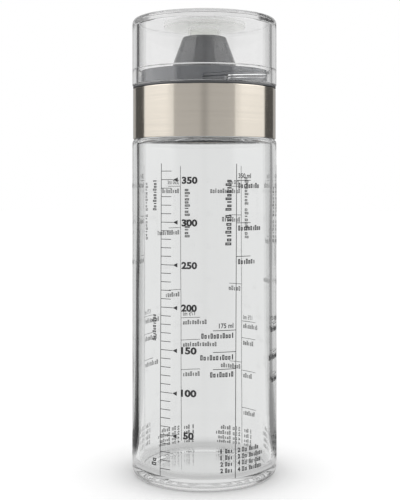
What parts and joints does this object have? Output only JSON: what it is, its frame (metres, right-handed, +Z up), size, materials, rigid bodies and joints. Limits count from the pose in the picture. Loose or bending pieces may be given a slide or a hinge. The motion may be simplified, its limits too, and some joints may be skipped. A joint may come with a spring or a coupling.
{
  "type": "salad dressing shaker",
  "caption": "Tall round glass shaker for mixing and pouring salad dressing, with a steel-banded cone spout and a clear quarter-turn cap.",
  "frame": {"origin": "centre of the ring that the bottle stands on", "axes": "+Z up along the axis of the bottle, -Y towards the measuring scale and the viewer"},
  "size_m": [0.065, 0.065, 0.2041],
  "materials": {
    "clear_glass": "clear, polished, slightly wavy",
    "clear_plastic": "clear, polished moulding",
    "brushed_steel": "brushed round the band",
    "grey_plastic": "smooth, semi-gloss",
    "grey_silicone": "matt, soft",
    "pale_silicone": "translucent, satin"
  },
  "bodies": {
    "bottle": {"glass_bottle": "clear_glass"},
    "gasket": {"neck_gasket": "grey_silicone"},
    "closure": {"pour_closure": "grey_plastic", "steel_band": "brushed_steel"},
    "liner": {"cap_liner": "pale_silicone"},
    "cap": {"clear_cap": "clear_plastic"}
  },
  "joints": [
    {"name": "closure_rise", "type": "slide", "parent": "bottle", "child": "gasket", "axis": [0, 0, 1], "range_m": [0, 0.00601]},
    {"name": "closure_turn", "type": "hinge", "parent": "gasket", "child": "closure", "pos_m": [0, 0, 0.1706], "axis": [0, 0, 1], "range_deg": [0, 360]},
    {"name": "cap_rise", "type": "slide", "parent": "closure", "child": "liner", "axis": [0, 0, 1], "range_m": [0, 0.00376]},
    {"name": "cap_turn", "type": "hinge", "parent": "liner", "child": "cap", "pos_m": [0, 0, 0.1738], "axis": [0, 0, 1], "range_deg": [0, 90]}
  ],
  "couplings": [
    {"joint": "closure_rise", "follows": "closure_turn", "m_per_rad": 0.00095493},
    {"joint": "cap_rise", "follows": "cap_turn", "m_per_rad": 0.0023873}
  ]
}
